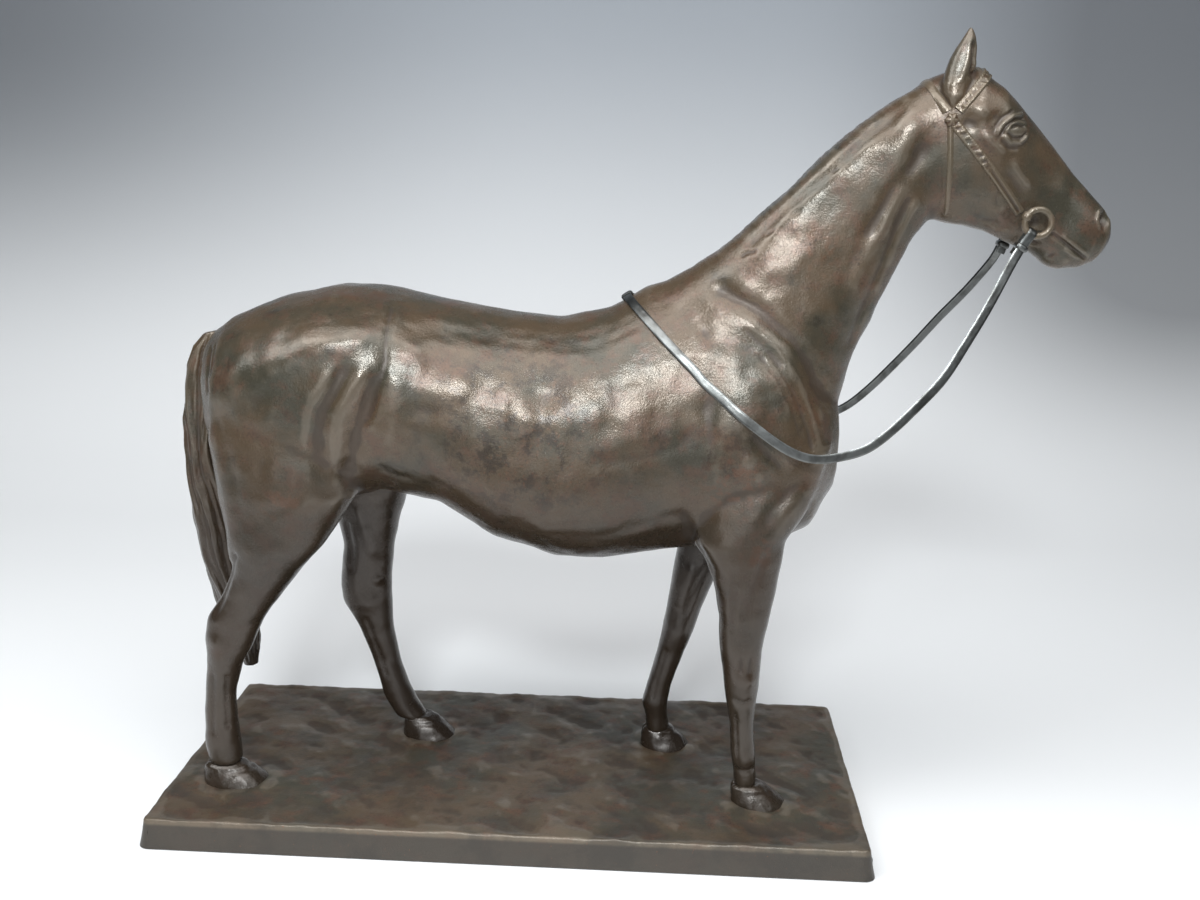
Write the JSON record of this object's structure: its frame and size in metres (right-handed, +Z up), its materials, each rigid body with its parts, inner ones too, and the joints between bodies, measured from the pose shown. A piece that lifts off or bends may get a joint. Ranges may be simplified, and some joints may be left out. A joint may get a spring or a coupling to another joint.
{
  "type": "bronze horse statue",
  "caption": "Standing bronze horse on a rectangular cast ground plinth, with a bridle and a separate metal rein that lifts off the withers.",
  "frame": {"origin": "middle of the bounding box on the plane that the plinth stands on", "axes": "+X towards the horse's head, +Y towards the horse's left side, +Z up"},
  "size_m": [0.4804, 0.167, 0.41],
  "materials": {
    "bronze": "dark brown patina, rubbed to a warmer metal on ridges",
    "plinth_bronze": "dark brown patina on modelled ground, brighter worn edges",
    "rein_metal": "dull grey metal strip",
    "fixings": "plain steel studs, washers and nuts"
  },
  "bodies": {
    "statue": {"plinth": "plinth_bronze", "hindquarters": "bronze", "barrel": "bronze", "forehand": "bronze", "neck": "bronze", "head": "bronze", "ear_right": "bronze", "ear_left": "bronze", "tail": "bronze", "foreleg_right": "bronze", "foreleg_left": "bronze", "hind_leg_right": "bronze", "hind_leg_left": "bronze", "hoof_foreleg_right": "bronze", "hoof_foreleg_left": "bronze", "hoof_hind_leg_right": "bronze", "hoof_hind_leg_left": "bronze", "crownpiece": "bronze", "browband": "bronze", "throatlatch": "bronze", "cheekpiece_right": "bronze", "cheekpiece_left": "bronze", "bit_ring_right": "bronze", "bit_ring_left": "bronze", "bit_bar": "bronze", "stud_foreleg_right": "fixings", "stud_foreleg_left": "fixings", "stud_hind_leg_right": "fixings", "stud_hind_leg_left": "fixings", "washer_foreleg_right": "fixings", "washer_foreleg_left": "fixings", "washer_hind_leg_right": "fixings", "washer_hind_leg_left": "fixings", "nut_foreleg_right": "fixings", "nut_foreleg_left": "fixings", "nut_hind_leg_right": "fixings", "nut_hind_leg_left": "fixings"},
    "rein": {"right_rein": "rein_metal", "left_rein": "rein_metal", "rein_join": "rein_metal", "rein_keeper_right": "rein_metal", "rein_keeper_left": "rein_metal"}
  },
  "joints": [
    {"name": "rein_lift", "type": "hinge", "parent": "statue", "child": "rein", "pos_m": [0.19996, 0, 0.3205], "axis": [0, 1, 0], "range_deg": [0, 8]}
  ]
}
